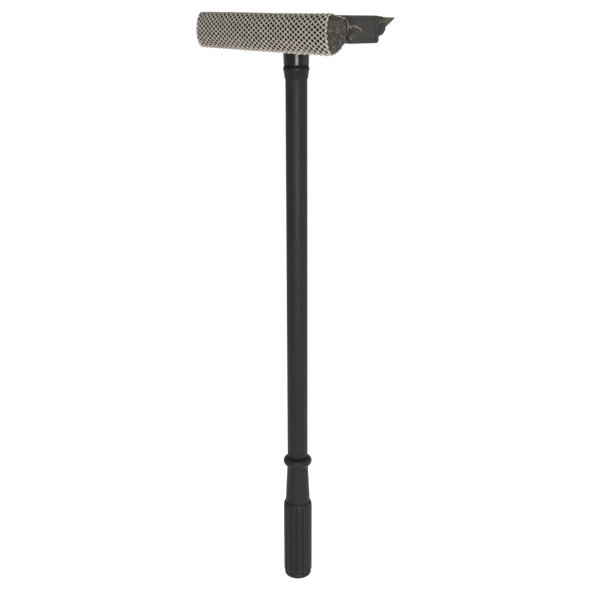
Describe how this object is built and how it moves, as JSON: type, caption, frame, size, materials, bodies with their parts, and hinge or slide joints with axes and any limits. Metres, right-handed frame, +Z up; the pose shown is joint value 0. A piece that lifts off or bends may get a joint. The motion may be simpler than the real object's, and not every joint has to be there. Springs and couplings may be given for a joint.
{
  "type": "windscreen squeegee with scrubber",
  "caption": "Hand-held windscreen washer: net-covered foam scrubbing pad and rubber squeegee blade on one head, with a long handle and ribbed grip.",
  "frame": {"origin": "centre of the flat end of the grip, on the handle's axis", "axes": "+Z up the handle towards the head, +X along the head towards the end where the pad and the blade slide out, -Y out of the scrubbing pad, +Y towards the wiping lip"},
  "size_m": [0.2094, 0.068, 0.5336],
  "materials": {
    "head_plastic": "satin moulded black plastic",
    "tube_plastic": "satin black plastic tube with a soft sheen",
    "grip_plastic": "fine-textured black plastic",
    "blade_rubber": "matt black rubber",
    "pad_foam": "open-cell dark grey foam",
    "pad_net": "knitted beige net of round strands",
    "spline_cord": "plain extruded cord"
  },
  "bodies": {
    "body": {"head_frame": "head_plastic", "end_plate_left": "head_plastic", "end_plate_right": "head_plastic", "blade_carrier": "head_plastic", "socket_collar": "head_plastic", "handle_tube": "tube_plastic", "grip": "grip_plastic", "grip_end_cap": "grip_plastic"},
    "pad": {"scrubber_foam": "pad_foam", "mesh_sleeve": "pad_net", "backing_strip": "head_plastic", "hem_spline_upper": "spline_cord", "hem_spline_lower": "spline_cord"},
    "blade": {"squeegee_blade": "blade_rubber"}
  },
  "joints": [
    {"name": "pad_slide", "type": "slide", "parent": "body", "child": "pad", "axis": [1, 0, 0], "range_m": [0, 0.19]},
    {"name": "blade_slide", "type": "slide", "parent": "body", "child": "blade", "axis": [1, 0, 0], "range_m": [0, 0.19]}
  ]
}
